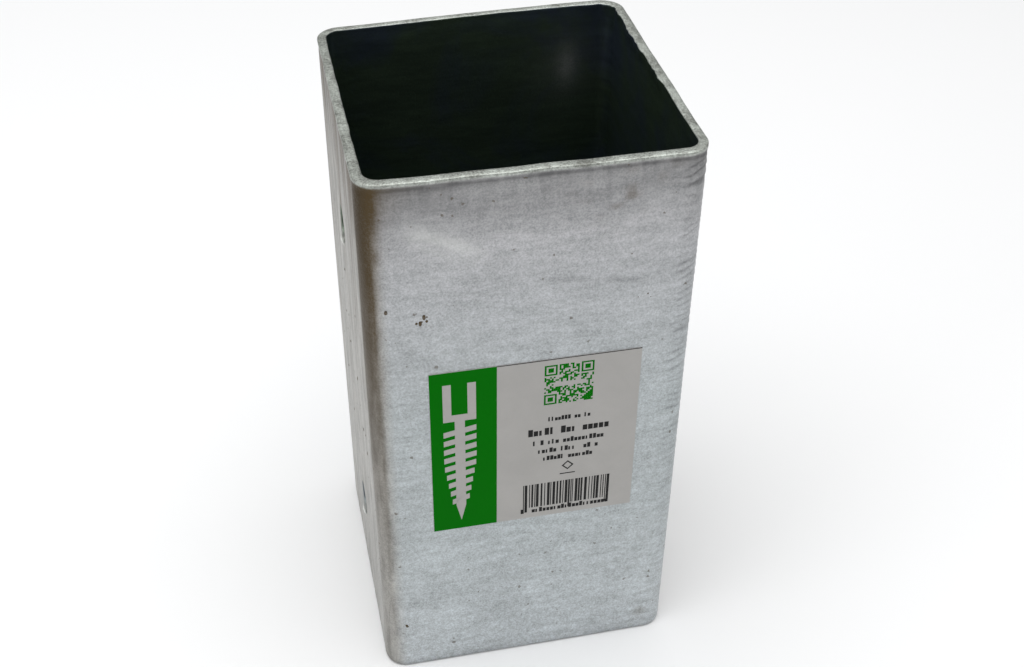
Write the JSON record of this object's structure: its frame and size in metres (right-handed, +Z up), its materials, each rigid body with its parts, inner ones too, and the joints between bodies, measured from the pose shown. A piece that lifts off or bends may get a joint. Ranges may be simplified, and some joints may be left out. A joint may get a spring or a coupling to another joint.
{
  "type": "ground screw post socket",
  "caption": "Open square galvanised steel sleeve with a welded foot plate, washer and nut, holding a 70 mm fence post on a ground screw's M16 stud.",
  "frame": {"origin": "centre of the sleeve's foot, in the plane it stands on", "axes": "+Z up the sleeve towards its open mouth, -Y out of the wall with the label, +X to the right as that wall is faced"},
  "size_m": [0.076, 0.0762, 0.15],
  "materials": {
    "galvanised_sheet": "hot-dip galvanised, matt grey with runs and fine grain",
    "galvanised_weld": "hot-dip galvanised weld bead",
    "galvanised_plate": "hot-dip galvanised, dull",
    "zinc_fixings": "zinc-plated, satin",
    "label_paper": "satin sticker, off-white",
    "label_green_ink": "printed green band and squares",
    "label_black_ink": "printed bars and rows of marks"
  },
  "bodies": {
    "socket": {"folded_sleeve": "galvanised_sheet", "corner_seam_weld": "galvanised_weld", "base_plate": "galvanised_plate", "base_weld_front": "galvanised_weld", "base_weld_back": "galvanised_weld", "base_weld_left": "galvanised_weld", "base_weld_right": "galvanised_weld", "label": "label_paper"},
    "washer": {"flat_washer": "zinc_fixings"},
    "nut": {"hex_nut": "zinc_fixings"}
  },
  "joints": [
    {"name": "fixings_lift", "type": "slide", "parent": "socket", "child": "washer", "axis": [0, 0, 1], "range_m": [0, 0.145]},
    {"name": "nut_turn", "type": "hinge", "parent": "washer", "child": "nut", "pos_m": [0, 0, 0.0156], "axis": [0, 0, 1], "continuous": true}
  ]
}
